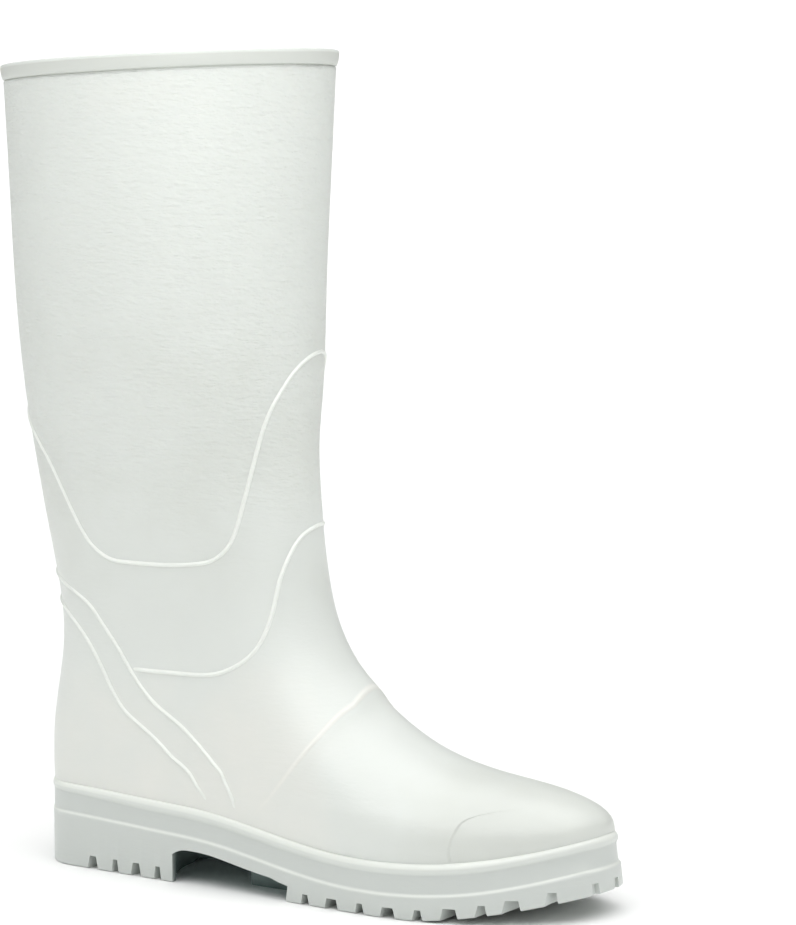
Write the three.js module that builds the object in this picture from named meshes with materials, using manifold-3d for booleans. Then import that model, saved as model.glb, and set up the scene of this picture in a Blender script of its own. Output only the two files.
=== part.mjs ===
// A knee-high rubber boot in white PVC: a moulded upper with its collar and raised lines,
// a cleated outsole and a loose insole.
// Millimetres, +Z up, +X to the toe, +Y to the boot's left (the inner side of a right boot).
import * as THREE from 'three';
import Module from 'manifold-3d';
import { mergeVertices } from 'three/addons/utils/BufferGeometryUtils.js';

const wasm = await Module();
wasm.setup();

// Driving sizes
const HEIGHT = 370; // ground to the rim of the collar
const FOOT = 281.5; // heel to toe of the upper, where it meets the sole
const BALL = 95; // width of the upper across the ball of the foot
const HEEL = 38.5; // ground to the edge of the upper at the back of the heel
const INSTEP = 70.5; // from there up to the top of the instep
const LEG = { width: 134, depth: 164 }; // outside the leg, at the collar
const WALL = 2.8; // thickness of the moulding
const COLLAR = { height: 8, proud: 1.1, lip: 0.7, drop: 1 }; // drop: how much lower the rim is at the back
const LINE = { crest: 0.8, foot: 2.6, proud: 0.8, buried: 1.1 }; // the thin raised lines
// The step down at the edge of the toe cap: from is a share of FOOT, top the height it reaches
const TOE_CAP = { from: 0.8384, lean: 0.3, soft: 4, drop: 0.7, top: 50, fade: 12, back: 34 };
const TOE_FULL = { from: 0.75, over: 0.2, by: 0.8 }; // the toe fills out along these shares of FOOT
// The low ridge across the instep, which leans back by slant over the top and the inner side
const FLEX = { proud: 0.9, width: 4, slant: 0.26, from: -12, over: 34 };
const HEEL_REST = 20; // the part's origin, forward of the back of the heel
const GAP = 0.3; // left between pieces that meet
const SPRING = 11.6; // lift of the sole under the toe
const BEAD = { height: 4.2, proud: 1.9, edge: 0.3, face: 0.8 }; // the rounded ledge at the top of the sole
const BAND = 13.6; // down to the thin ridge along the side
const TREAD = { step: 1.6, taper: 1.4, edge: 1.2, foot: 0.4 }; // the lugs, out from the upper's edge
const LEAN = { toe: 3.6, heel: 0.75 }; // toe: how far the front slopes out to the ground; heel: share taken off the steps
const NOTCH = { heel: 6.2, fore: 4.8, under: 3 }; // depth of the cuts between the lugs
const INSOLE = { thick: 2.5, clear: 3.2 }; // clear: left between it and the inside wall

// Nose of a superellipse: 1 at the start, 0 at the tip
const nose = (u, power) => (1 - Math.min(Math.max(u, 0), 1) ** power) ** (1 / power);
const clamp = (u) => Math.min(Math.max(u, 0), 1);
const smooth = (u) => clamp(u) ** 2 * (3 - 2 * clamp(u));

// Natural cubic spline through the points of one column
function spline(xs, ys) {
  const n = xs.length;
  const bend = new Array(n).fill(0);
  const carry = new Array(n).fill(0);
  for (let i = 1; i < n - 1; i++) {
    const a = xs[i] - xs[i - 1];
    const b = xs[i + 1] - xs[i];
    const pivot = 2 * (a + b) - a * carry[i - 1];
    carry[i] = b / pivot;
    const kink = 6 * ((ys[i + 1] - ys[i]) / b - (ys[i] - ys[i - 1]) / a);
    bend[i] = (kink - a * bend[i - 1]) / pivot;
  }
  for (let i = n - 2; i > 0; i--) bend[i] -= carry[i] * bend[i + 1];
  return (x) => {
    let i = 0;
    while (i < n - 2 && x >= xs[i + 1]) i++;
    const h = xs[i + 1] - xs[i];
    const a = (xs[i + 1] - x) / h;
    const b = (x - xs[i]) / h;
    return a * ys[i] + b * ys[i + 1] + ((a ** 3 - a) * bend[i] + (b ** 3 - b) * bend[i + 1]) * h * h / 6;
  };
}

// Height of a level: 0 at the heel's edge, 1 at the top of the instep, 2 at the rim
const rise = (level) => (level < 1
  ? HEEL + level * INSTEP
  : HEEL + INSTEP + (level - 1) * (HEIGHT - HEEL - INSTEP));

// A table is a list of rows under named columns, each with its unit; each column becomes a spline
// of the first one
const real = (value, unit) => (unit === rise ? rise(value) : value * unit);
const inUnits = (units, rows) => rows.map((row) => row.map((value, k) => real(value, units[k])));
function columns(names, rows) {
  const out = {};
  names.forEach((name, k) => {
    out[name] = spline(rows.map((row) => row[0]), rows.map((row) => row[k]));
  });
  return out;
}
const table = (names, units, rows) => columns(names, inUnits(units, rows));

// Height of the line where the upper meets the sole
const feather = table(['x', 'z'], [FOOT, HEEL], [
  [-0.05, 1.0005], [0, 1.0005], [0.12, 0.9843], [0.3, 0.9235], [0.38, 0.8898], [0.48, 0.7911],
  [0.62, 0.6445], [0.75, 0.6204], [0.88, 0.7068], [1, 0.9129],
]).z;

// Sections fan out from upright ones at the toe to level rings up the leg. Each runs from a point
// on the front line to one on (or a little outside) the back line.
const section = columns(
  ['station', 'frontX', 'frontZ', 'backX', 'backZ', 'lateral', 'medial', 'widest', 'power', 'tuck', 'shift'],
  [
    ...inUnits([1, FOOT, rise, FOOT, rise, BALL, BALL, 1, 1, 1, BALL], [
      [0, 1, 0.1887, 1, -0.0567, 0.516, 0.463, 0.05, 2.3, 0.02, 0.0947],
      [1, 0.8777, 0.207, 0.8777, -0.149, 0.526, 0.474, 0.08, 2.3, 0.02, 0.0632],
      [2, 0.753, 0.2831, 0.753, -0.1965, 0.526, 0.474, 0.1, 2.3, 0.02, 0.0316],
      [3, 0.6283, 0.5109, 0.6283, -0.205, 0.495, 0.442, 0.12, 2.3, 0.03, 0],
      [4, 0.5187, 1, 0.4333, -0.1892, 0.453, 0.421, 0.18, 2.25, 0.06, -0.0105],
      [5, 0.4846, 1.1381, 0.2634, -0.2889, 0.437, 0.421, 0.25, 2.2, 0.1, -0.0105],
    ]),
    ...inUnits([1, LEG.depth, rise, LEG.depth, rise, LEG.width, LEG.width, 1, 1, 1, 1], [
      [6, 0.8188, 1.2529, 0.0863, -0.2365, 0.3212, 0.3212, 0.35, 2.1, 0.15, 0],
      [7, 0.8093, 1.3521, -0.0984, 0.703, 0.358, 0.358, 0.45, 2, 0.05, 0],
      [8, 0.805, 1.467, -0.0673, 1.2416, 0.4176, 0.4176, 0.5, 2, 0, 0],
      [9, 0.8067, 1.6555, -0.1191, 1.5591, 0.4665, 0.4665, 0.5, 2, 0, 0],
      [10, 0.8205, 1.8469, -0.1467, 1.827, 0.4885, 0.4885, 0.5, 2, 0, 0],
      [11, 0.8343, 2, -0.1648, 2, 0.5, 0.5, 0.5, 2, 0, 0],
    ]),
  ],
);
const LAST = 11;

// The line of the back, and how far in from it the plan rounds off
const back = table(['z', 'x', 'round', 'power'], [rise, LEG.depth, LEG.depth, 1], [
  [-0.2625, 0.0069, 0.1519, 2.2], [0.021, 0.0069, 0.1519, 2.2], [0.4454, 0.0155, 0.1898, 2.25],
  [0.9447, 0.0414, 0.2554, 2.2], [1.1565, -0.0112, 0.3296, 2], [1.348, -0.0725, 0.3779, 2],
  [1.579, -0.1208, 0.4262, 2], [1.8086, -0.1458, 0.4694, 2], [2, -0.1648, 0.5004, 2],
]);

function frontPoint(q) {
  const x = section.frontX(q);
  const low = feather(x);
  return [x, low + (section.frontZ(q) - low) * nose((x / FOOT - 0.8) / 0.2, 2.5)];
}

// The front and back lines by their length
function trace(points) {
  const at = [0];
  for (let i = 1; i < points.length; i++) {
    at.push(at[i - 1] + Math.hypot(points[i][0] - points[i - 1][0], points[i][1] - points[i - 1][1]));
  }
  const find = (list, value) => {
    let lo = 0;
    let hi = list.length - 1;
    while (hi - lo > 1) {
      const mid = (lo + hi) >> 1;
      if (list[mid] <= value) lo = mid;
      else hi = mid;
    }
    const f = (value - list[lo]) / (list[hi] - list[lo]);
    return [0, 1].map((k) => points[lo][k] + (points[hi][k] - points[lo][k]) * f);
  };
  return { length: at[at.length - 1], along: (s) => find(at, s), level: (z) => find(points.map((p) => p[1]), z) };
}
const STEPS = 600;
const frontLine = trace([...Array(STEPS + 1).keys()].map((i) => frontPoint(LAST * (1 - Math.cos(Math.PI * i / STEPS / 2)))));
const backLine = trace([...Array(STEPS + 1).keys()].map((i) => {
  const z = feather(0) + (HEIGHT - feather(0)) * i / STEPS;
  return [back.x(z), z];
}));

// Half widths of the boot at a point of its side view
function half(x, z) {
  let lo = 0;
  let hi = LAST;
  for (let i = 0; i < 30; i++) {
    const q = (lo + hi) / 2;
    const turn = (section.frontX(q) - section.backX(q)) * (z - section.backZ(q))
      - (section.frontZ(q) - section.backZ(q)) * (x - section.backX(q));
    if (turn > 0) lo = q;
    else hi = q;
  }
  const q = (lo + hi) / 2;
  const [fx, fz] = frontPoint(q);
  const bx = section.backX(q);
  const bz = section.backZ(q);
  const v = clamp(Math.hypot(x - bx, z - bz) / Math.max(Math.hypot(fx - bx, fz - bz), 1e-6));
  const widest = section.widest(q);
  const round = back.round(z);
  const k = nose((v - widest) / (1 - widest), section.power(q))
    * nose((round - (x - back.x(z))) / round, back.power(z))
    * nose((x / FOOT - 0.66) / 0.34, 2.3)
    * (1 - section.tuck(q) * clamp((widest - v) / widest) ** 2);
  return { lateral: section.lateral(q) * k, medial: section.medial(q) * k, shift: section.shift(q) };
}

// A point of the outside. The angle turns from 0 at the back by the outer side to 1 at the front
// and on by the inner side to 2; the side view point lies on the line from rear to fore.
function onSection(rear, fore, turn, sag = () => 0) {
  const side = turn <= 1 ? -1 : 1;
  const share = (1 - Math.cos(Math.PI * (turn <= 1 ? turn : 2 - turn))) / 2;
  const x = rear[0] + (fore[0] - rear[0]) * share;
  const z = rear[1] + (fore[1] - rear[1]) * share + sag(share);
  const w = half(x, z);
  const edge = share < 1e-9 || share > 1 - 1e-9;
  return new THREE.Vector3(x, w.shift + (edge ? 0 : side * (side < 0 ? w.lateral : w.medial)), z);
}
const level = (z, turn) => onSection(backLine.level(z), frontLine.level(z), turn);
// A ring round the collar, so far below the rim, which is a little lower at the back
const ring = (below, turn) => onSection(
  backLine.level(HEIGHT - COLLAR.drop - below), frontLine.level(HEIGHT - below), turn,
);

// Row 0 lies on the feather line, row 1 under the collar band
const frontTop = frontLine.length - COLLAR.height;
const backTop = backLine.length - COLLAR.height - COLLAR.drop;
function onRow(row, turn) {
  const fade = (1 - clamp(row / 0.3)) ** 3;
  const chord = (u) => feather(0) + (feather(FOOT) - feather(0)) * u;
  const rear = backLine.along(row * backTop);
  const fore = frontLine.along(row * frontTop);
  if (row > 0.97) {
    const mix = (row - 0.97) / 0.03;
    rear[1] += (HEIGHT - COLLAR.height - COLLAR.drop - rear[1]) * mix;
    fore[1] += (HEIGHT - COLLAR.height - fore[1]) * mix;
  }
  return onSection(rear, fore, turn, (u) => fade * (feather(FOOT * u) - chord(u)));
}

// Normal of the outside by the neighbours of a point
function normalAt(surface, row, turn, flat = false) {
  const e = 0.004;
  const wrap = (t) => (t + 2) % 2;
  const across = surface(row, wrap(turn + e)).sub(surface(row, wrap(turn - e)));
  const up = surface(Math.min(row + e, 1), turn).sub(surface(Math.max(row - e, 0), turn));
  const n = across.cross(up);
  if (flat) n.z = 0;
  return n.normalize();
}

// Low relief that belongs to the moulding: the toe cap and the ridge where the instep bends
const flexPoints = inUnits([rise, FOOT], [
  [-0.0355, 0.4832], [0.1064, 0.5186], [0.2624, 0.5488], [0.3901, 0.5701], [0.5177, 0.5861],
  [0.6455, 0.5931], [0.8019, 0.5968],
]);
const flexLine = spline(flexPoints.map((p) => p[0]), flexPoints.map((p) => p[1]));
const flexTop = flexPoints[flexPoints.length - 1][0];
function relief(p) {
  const edge = smooth((p.x - TOE_CAP.from * FOOT - (p.z - HEEL + 3) * TOE_CAP.lean) / TOE_CAP.soft + 0.5);
  const fade = smooth((TOE_CAP.top - p.z) / TOE_CAP.fade) * smooth((FOOT - p.x) / TOE_CAP.back);
  const full = smooth((p.x / FOOT - TOE_FULL.from) / TOE_FULL.over);
  const lean = FLEX.slant * FLEX.over * clamp((p.y - FLEX.from) / FLEX.over);
  const off = (p.x - flexLine(Math.min(p.z, flexTop)) + lean) / FLEX.width;
  const flex = p.z < flexTop ? Math.exp(-off * off * 2) * smooth((p.z - HEEL) / 14) : 0;
  return FLEX.proud * flex + TOE_FULL.by * full - TOE_CAP.drop * edge * fade;
}

// Closed bodies from loops of points
function geometry(points, faces) {
  const g = new THREE.BufferGeometry();
  g.setAttribute('position', new THREE.BufferAttribute(new Float32Array(points.flatMap((p) => [p.x, p.y, p.z])), 3));
  g.setIndex(faces.flat());
  return g;
}
function quad(faces, a, b, c, d) {
  faces.push([a, b, c], [a, c, d]);
}
function ringBody(loops) {
  const n = loops[0].length;
  const faces = [];
  loops.forEach((loop, i) => {
    const next = ((i + 1) % loops.length) * n;
    for (let j = 0; j < n; j++) {
      const k = (j + 1) % n;
      quad(faces, i * n + j, i * n + k, next + k, next + j);
    }
  });
  return geometry(loops.flat(), faces);
}
// Loops from the top down, closed by strips from side to side
function plateBody(loops) {
  const n = loops[0].length;
  const faces = [];
  for (let i = 0; i + 1 < loops.length; i++) {
    for (let j = 0; j < n; j++) {
      const k = (j + 1) % n;
      quad(faces, (i + 1) * n + j, (i + 1) * n + k, i * n + k, i * n + j);
    }
  }
  const base = (loops.length - 1) * n;
  for (let j = 0; j < n / 2; j++) {
    const strip = [j, j + 1, (n - j - 1) % n, (n - j) % n];
    const ends = strip.filter((v, i) => strip.indexOf(v) === i);
    for (let i = 1; i + 1 < ends.length; i++) {
      faces.push([ends[0], ends[i], ends[i + 1]]);
      faces.push([base + ends[0], base + ends[i + 1], base + ends[i]]);
    }
  }
  return geometry(loops.flat(), faces);
}

function solid(g) {
  const bare = g.clone();
  bare.deleteAttribute('normal');
  bare.deleteAttribute('uv');
  const merged = mergeVertices(bare, 1e-4);
  return new wasm.Manifold(new wasm.Mesh({
    numProp: 3,
    vertProperties: new Float32Array(merged.attributes.position.array),
    triVerts: new Uint32Array(merged.index.array),
  }));
}
function fromSolid(body) {
  const mesh = body.getMesh();
  const g = new THREE.BufferGeometry();
  g.setAttribute('position', new THREE.BufferAttribute(new Float32Array(mesh.vertProperties), 3));
  g.setIndex(Array.from(mesh.triVerts));
  return g;
}

// Upper: outside up from the feather line, over the collar, and down the inside
const AROUND = 48;
const OUTER_ROWS = 40;
const INNER_ROWS = 26;
const turns = [...Array(AROUND).keys()].map((j) => 2 * j / AROUND);
function upperLoops() {
  const loops = [];
  for (let i = 0; i <= OUTER_ROWS; i++) {
    const row = (i / OUTER_ROWS) ** 1.12;
    loops.push(turns.map((t) => {
      const p = onRow(row, t);
      return p.addScaledVector(normalAt(onRow, row, t), relief(p));
    }));
  }
  const rimLoop = (below, proud) => turns.map((t) => {
    const n = normalAt((r, u) => ring(COLLAR.height * mix(1.5, 0.25, r), u), 0.5, t, true);
    return ring(Math.max(below, 1e-6), t).addScaledVector(n, proud);
  });
  loops.push(rimLoop(COLLAR.height - GAP, COLLAR.proud));
  loops.push(rimLoop(COLLAR.lip, COLLAR.proud));
  loops.push(rimLoop(0, COLLAR.proud - COLLAR.lip));
  loops.push(rimLoop(0, COLLAR.lip - WALL));
  loops.push(rimLoop(COLLAR.lip, -WALL));
  for (let i = INNER_ROWS; i >= 0; i--) {
    const row = i / INNER_ROWS;
    loops.push(turns.map((t) => onRow(row, t).addScaledVector(normalAt(onRow, row, t, i === 0), -WALL)));
  }
  return loops;
}

// Raised lines, each by the turn from back to front and the level. A line goes on down the inner side
// from the end where it crosses the back (turn 0) or the front, where its crown lies a little to the
// inner side (turn 1.09); inner is how wide it is there, against the outer side.
const raisedLines = {
  yoke: { inner: 0.835, at: [
    [0, 1.419], [0.1, 1.409], [0.18, 1.386], [0.256, 1.352], [0.325, 1.304], [0.368, 1.239], [0.396, 1.185],
    [0.418, 1.1565], [0.45, 1.138], [0.495, 1.133], [0.572, 1.131], [0.642, 1.134], [0.685, 1.142],
    [0.72, 1.161], [0.747, 1.192], [0.77, 1.2345], [0.799, 1.287], [0.832, 1.341], [0.871, 1.392],
    [0.917, 1.434], [0.964, 1.466], [1.025, 1.4875], [1.09, 1.494],
  ] },
  ankle: { inner: 0.718, at: [
    [0.434, 0.8048], [0.475, 0.7982], [0.522, 0.7977], [0.596, 0.7998], [0.662, 0.8394], [0.738, 0.9391],
    [0.801, 1.0204], [0.849, 1.067], [0.88, 1.115], [0.924, 1.16], [0.969, 1.184], [1.031, 1.195],
    [1.09, 1.196],
  ] },
  strapFront: { inner: 1, at: [
    [0.462, -0.0156], [0.461, 0.0443], [0.469, 0.15], [0.5, 0.2486], [0.514, 0.3438], [0.504, 0.46],
    [0.477, 0.5517], [0.452, 0.6573], [0.433, 0.7807], [0.411, 0.9463], [0.379, 1.034], [0.335, 1.067],
    [0.22, 1.0956], [0.11, 1.108], [0, 1.1126],
  ] },
  strapRear: { inner: 1, at: [
    [0.426, -0.01], [0.42, 0.06], [0.42, 0.13], [0.433, 0.2381], [0.436, 0.3473], [0.414, 0.453],
    [0.39, 0.5517], [0.37, 0.7172], [0.353, 0.8547], [0.313, 1.0083], [0.225, 1.0445], [0.11, 1.06],
    [0, 1.0644],
  ] },
};

// Points of a raised line, lateral then mirrored medial, about a step apart
function linePath({ at, inner }, step) {
  const turn = spline(at.map((p, i) => i), at.map((p) => p[0]));
  const height = spline(at.map((p, i) => i), at.map((p) => rise(p[1])));
  const fine = [...Array(401).keys()].map((i) => {
    const s = (at.length - 1) * i / 400;
    return [turn(s), height(s)];
  });
  const spots = fine.map(([t, z]) => level(z, t));
  const run = [0];
  for (let i = 1; i < spots.length; i++) run.push(run[i - 1] + spots[i].distanceTo(spots[i - 1]));
  const count = Math.round(run[400] / step);
  const half = [];
  for (let k = 0, i = 0; k <= count; k++) {
    while (i < 400 && run[i] < run[400] * k / count) i++;
    half.push(fine[i]);
  }
  const crown = at[at.length - 1][0];
  const closed = at[0][0] === 0 && crown > 1;
  const across = crown > 1 ? (t) => crown + (crown - t) * inner : (t) => 2 - t * inner;
  const other = half.slice(closed ? 1 : 0, -1).reverse().map(([t, z]) => [across(t), z]);
  return { closed, points: [...half, ...other] };
}

function railBody(line, step) {
  const { closed, points } = linePath(line, step);
  const n = points.length;
  const spots = points.map(([t, z]) => level(z, t % 2));
  const scan = (r, u) => level(r * HEIGHT, u);
  const loops = spots.map((p, i) => {
    const before = spots[closed ? (i + n - 1) % n : Math.max(i - 1, 0)];
    const after = spots[closed ? (i + 1) % n : Math.min(i + 1, n - 1)];
    const along = after.clone().sub(before).normalize();
    const out = normalAt(scan, points[i][1] / HEIGHT, points[i][0] % 2);
    const side = out.clone().cross(along).normalize();
    const lift = relief(p);
    return [
      [-LINE.foot / 2, -LINE.buried], [LINE.foot / 2, -LINE.buried],
      [LINE.crest / 2, LINE.proud], [-LINE.crest / 2, LINE.proud],
    ].map(([w, h]) => p.clone().addScaledVector(side, w).addScaledVector(out, h + lift));
  });
  const faces = [];
  const m = 4;
  for (let i = 0; i < (closed ? n : n - 1); i++) {
    const next = ((i + 1) % n) * m;
    for (let j = 0; j < m; j++) quad(faces, i * m + j, i * m + (j + 1) % m, next + (j + 1) % m, next + j);
  }
  if (!closed) {
    faces.push([0, 3, 2], [0, 2, 1]);
    const e = (n - 1) * m;
    faces.push([e, e + 1, e + 2], [e, e + 2, e + 3]);
  }
  return solid(geometry(loops.flat(), faces));
}

function upperGeometry() {
  let body = solid(ringBody(upperLoops()));
  for (const line of Object.values(raisedLines)) body = body.add(railBody(line, 11));
  return fromSolid(body);
}

// Sole: the outline is the upper's own feather loop, moved out or in
const EDGES = 64;
const edgeTurns = [...Array(EDGES).keys()].map((j) => 2 * j / EDGES);
const outline = edgeTurns.map((t) => ({ p: onRow(0, t), n: normalAt(onRow, 0, t, true) }));
const ground = (x) => SPRING * clamp((x / FOOT - 0.77) / 0.23) ** 1.5;
const sideLine = (x) => feather(x) - BAND;
const edgeLoop = (move, height) => outline.map(({ p, n }) => {
  const q = p.clone().addScaledVector(n, move);
  q.z = height(Math.min(Math.max(q.x, 0), FOOT));
  return q;
});
// The same on the outside, where the steps fade at the back of the heel and the toe slopes outward
const sideLoop = (move, height) => outline.map(({ p, n }) => {
  const x = Math.min(Math.max(p.x, 0), FOOT);
  const z = height(x);
  const down = (feather(x) - z) / (feather(x) - ground(x));
  const out = move * (1 - LEAN.heel * Math.max(-n.x, 0)) + LEAN.toe * Math.max(n.x, 0) * down;
  const q = p.clone().addScaledVector(n, out);
  q.z = z;
  return q;
});

// A box whose corners are moved by a function of its three shares from 0 to 1
function mappedBox(nx, ny, place) {
  const g = new THREE.BoxGeometry(1, 1, 1, nx, ny, 1);
  const at = g.attributes.position;
  for (let i = 0; i < at.count; i++) {
    at.setXYZ(i, ...place(at.getX(i) + 0.5, at.getY(i) + 0.5, at.getZ(i) + 0.5));
  }
  return solid(g);
}
const mix = (a, b, u) => a + (b - a) * u;

// Under the sole, along it as shares of FOOT and across as shares of BALL: the arch with its hollow
// breast, the lug in the middle of it, and the cuts between the other lugs
const ARCH = { from: 0.3162 * FOOT, hollow: 0.0675 * FOOT, to: 0.5435 * FOOT, half: 0.43 * BALL, soft: 2.5 };
const MIDDLE_LUG = { from: 0.4299 * FOOT, to: 0.5577 * FOOT, half: 0.284 * BALL, draft: 0.8 };
const archTop = table(['x', 'z'], [FOOT, HEEL], [
  [0.2131, 0.4052], [0.3267, 0.4052], [0.3766, 0.4], [0.4512, 0.3195], [0.5328, 0.2388], [0.5861, 0.2078],
]).z;
const notches = inUnits([FOOT, FOOT, FOOT, 1], [
  [0.146, 0.0227, 0.0133, NOTCH.heel], [0.194, 0.0156, 0.0089, NOTCH.heel],
  [0.2384, 0.0227, 0.0133, NOTCH.heel], [0.2838, 0.0156, 0.0089, NOTCH.heel],
  [0.5847, 0.0174, 0.0096, NOTCH.fore], [0.6359, 0.027, 0.0185, NOTCH.fore],
  [0.6895, 0.0174, 0.0096, NOTCH.fore], [0.74, 0.027, 0.0185, NOTCH.fore],
  [0.7897, 0.0174, 0.0096, NOTCH.fore], [0.8384, 0.027, 0.0185, NOTCH.fore],
  [0.8845, 0.0174, 0.0096, NOTCH.fore], [0.9247, 0.0245, 0.017, NOTCH.fore],
  [0.9719, 0.0146, 0.0103, NOTCH.fore],
]);

function outsoleGeometry() {
  const wide = BALL * 0.7;
  const loops = [
    sideLoop(BEAD.edge, (x) => feather(x) - GAP),
    sideLoop(BEAD.proud, (x) => feather(x) - 0.5 * BEAD.height),
    sideLoop(BEAD.proud, (x) => feather(x) - 0.75 * BEAD.height),
    sideLoop(BEAD.face, (x) => feather(x) - BEAD.height),
    sideLoop(BEAD.face, (x) => sideLine(x) + 1),
    sideLoop(TREAD.step, (x) => sideLine(x)),
    sideLoop(TREAD.step, (x) => sideLine(x) - 1),
    sideLoop(TREAD.taper, (x) => ground(x) + TREAD.edge),
    sideLoop(TREAD.foot, ground),
  ];
  let body = solid(plateBody(loops));
  body = body.subtract(mappedBox(8, 10, (u, v, w) => {
    const y = mix(-wide, wide, v);
    const rear = ARCH.from - ARCH.hollow * (1 - clamp(Math.abs(y) / ARCH.half) ** 2);
    const down = ARCH.soft * clamp(1 - u * 8) + 0.6 * ARCH.soft * clamp((u - 7 / 8) * 8);
    const x = mix(rear, ARCH.to, u) + (u > 0.99 && w > 0.5 ? 0.8 * ARCH.soft : 0);
    return [x, y, w > 0.5 ? archTop(x) - down : -NOTCH.under];
  }));
  body = body.add(mappedBox(2, 1, (u, v, w) => {
    const x = mix(MIDDLE_LUG.from, MIDDLE_LUG.to, u);
    const y = mix(-MIDDLE_LUG.half, MIDDLE_LUG.half, v);
    return [x + (w > 0.5 ? -MIDDLE_LUG.draft * (1 - u) : 0), y, w > 0.5 ? archTop(x) + 1.5 : 0];
  }));
  for (const [x, foot, top, deep] of notches) {
    body = body.subtract(mappedBox(1, 1, (u, v, w) => {
      const lift = mix(-NOTCH.under, deep, w);
      return [x + (u - 0.5) * mix(foot, top, lift / deep), mix(-wide, wide, v), ground(x) + lift];
    }));
  }
  return fromSolid(body);
}

function insoleGeometry() {
  const inset = WALL + INSOLE.clear;
  return plateBody([
    edgeLoop(-inset, (x) => feather(x) + INSOLE.thick),
    edgeLoop(-inset, (x) => feather(x)),
  ]);
}

const white = (name, color, roughness) => new THREE.MeshStandardMaterial({ name, color, roughness, metalness: 0 });
function piece(name, shape, material) {
  const mesh = new THREE.Mesh(shape, material);
  mesh.name = name;
  mesh.position.x = -HEEL_REST;
  return mesh;
}

const boot = new THREE.Group();
boot.name = 'knee_boot';
boot.add(piece('upper', upperGeometry(), white('pvc_upper', 0xe3e8e2, 0.55)));
boot.add(piece('outsole', outsoleGeometry(), white('pvc_sole', 0xced2cc, 0.5)));
boot.add(piece('insole', insoleGeometry(), white('insole', 0xd8dad4, 0.9)));
export default boot;
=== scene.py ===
"""A knee-high white PVC boot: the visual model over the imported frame."""
import math
from functools import partialmethod
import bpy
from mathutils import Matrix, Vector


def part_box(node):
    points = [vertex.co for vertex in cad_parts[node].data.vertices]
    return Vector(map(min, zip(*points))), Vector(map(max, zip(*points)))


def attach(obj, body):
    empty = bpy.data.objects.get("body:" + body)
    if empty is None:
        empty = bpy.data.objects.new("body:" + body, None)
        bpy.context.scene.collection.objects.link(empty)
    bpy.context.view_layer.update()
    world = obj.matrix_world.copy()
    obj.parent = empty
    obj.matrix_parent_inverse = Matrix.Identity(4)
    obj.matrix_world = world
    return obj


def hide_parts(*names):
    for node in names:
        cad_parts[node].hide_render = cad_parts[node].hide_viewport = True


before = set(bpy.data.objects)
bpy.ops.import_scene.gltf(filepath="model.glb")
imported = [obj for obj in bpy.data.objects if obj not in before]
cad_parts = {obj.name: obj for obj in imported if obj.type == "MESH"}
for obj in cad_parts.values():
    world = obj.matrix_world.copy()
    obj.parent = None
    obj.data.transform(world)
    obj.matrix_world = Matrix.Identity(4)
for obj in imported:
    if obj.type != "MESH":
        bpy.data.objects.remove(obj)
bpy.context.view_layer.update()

from types import SimpleNamespace as Values

import bmesh
import bpy
import numpy as np

bl_info = {
    "name": "Knee Boot",
    "version": (1, 0, 0),
    "blender": (4, 5, 0),
    "location": "View3D > Sidebar > Knee Boot",
    "description": "Builds a moulded PVC knee boot over its packed frame",
    "category": "Add Mesh",
}

MM = 0.001
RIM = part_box("upper")[1].z


def length(name, description, default):
    return bpy.props.FloatProperty(name=name, description=description, default=default, unit="LENGTH")


def colour(name, description, default):
    return bpy.props.FloatVectorProperty(
        name=name, description=description, subtype="COLOR", size=3, default=default, min=0, max=1)


class BootSizes(bpy.types.PropertyGroup):
    """Sizes of the boot, as on its last"""

    height: length("Height", "Ground to the rim of the collar", RIM)
    foot: length("Foot length", "Heel to toe of the upper, at the sole", 0.2815)
    ball: length("Ball width", "Width of the upper across the ball", 0.095)
    heel: length("Heel height", "Ground to the upper's edge at the heel", 0.0385)
    instep: length("Instep", "Heel's edge up to the top of the instep", 0.0705)
    leg_width: length("Leg width", "Outside width at the collar", 0.134)
    leg_depth: length("Leg depth", "Outside depth at the collar", 0.164)
    wall: length("Wall", "Thickness of the moulding", 0.0028)
    collar: length("Collar height", "Height of the band at the rim", 0.007)
    step: length("Collar step", "How far the band stands out", 0.0011)
    line_height: length("Line height", "How far the raised lines stand out", 0.0008)
    line_width: length("Line width", "Width of the raised lines at their foot", 0.0026)
    spring: length("Toe spring", "Lift of the sole under the toe", 0.0116)
    toe_lean: length("Toe slope", "How far the sole's front slopes out to the ground", 0.0036)
    band: length("Side band", "Upper's edge down to the step along the side", 0.0136)
    heel_tread: length("Heel tread", "Depth of the cuts in the heel", 0.0062)
    fore_tread: length("Fore tread", "Depth of the cuts under the forefoot", 0.0048)


class BootFinish(bpy.types.PropertyGroup):
    """Colours of the boot"""

    pvc: colour("Upper", "Colour of the upper's PVC", (0.779, 0.808, 0.76))
    sole: colour("Sole", "Colour of the sole's PVC", (0.645, 0.678, 0.65))
    lining: colour("Lining", "Colour of the knitted lining", (0.76, 0.77, 0.74))
    felt: colour("Insole", "Colour of the insole's felt", (0.62, 0.63, 0.6))


# shape of the boot


def nose(u, power):
    """Nose of a superellipse: 1 at the start, 0 at the tip."""
    return (1 - np.clip(u, 0, 1) ** power) ** (1 / power)


def smooth(u):
    u = np.clip(u, 0, 1)
    return u * u * (3 - 2 * u)


def paired(a, b):
    return np.broadcast_arrays(np.asarray(a, float), np.asarray(b, float))


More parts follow.
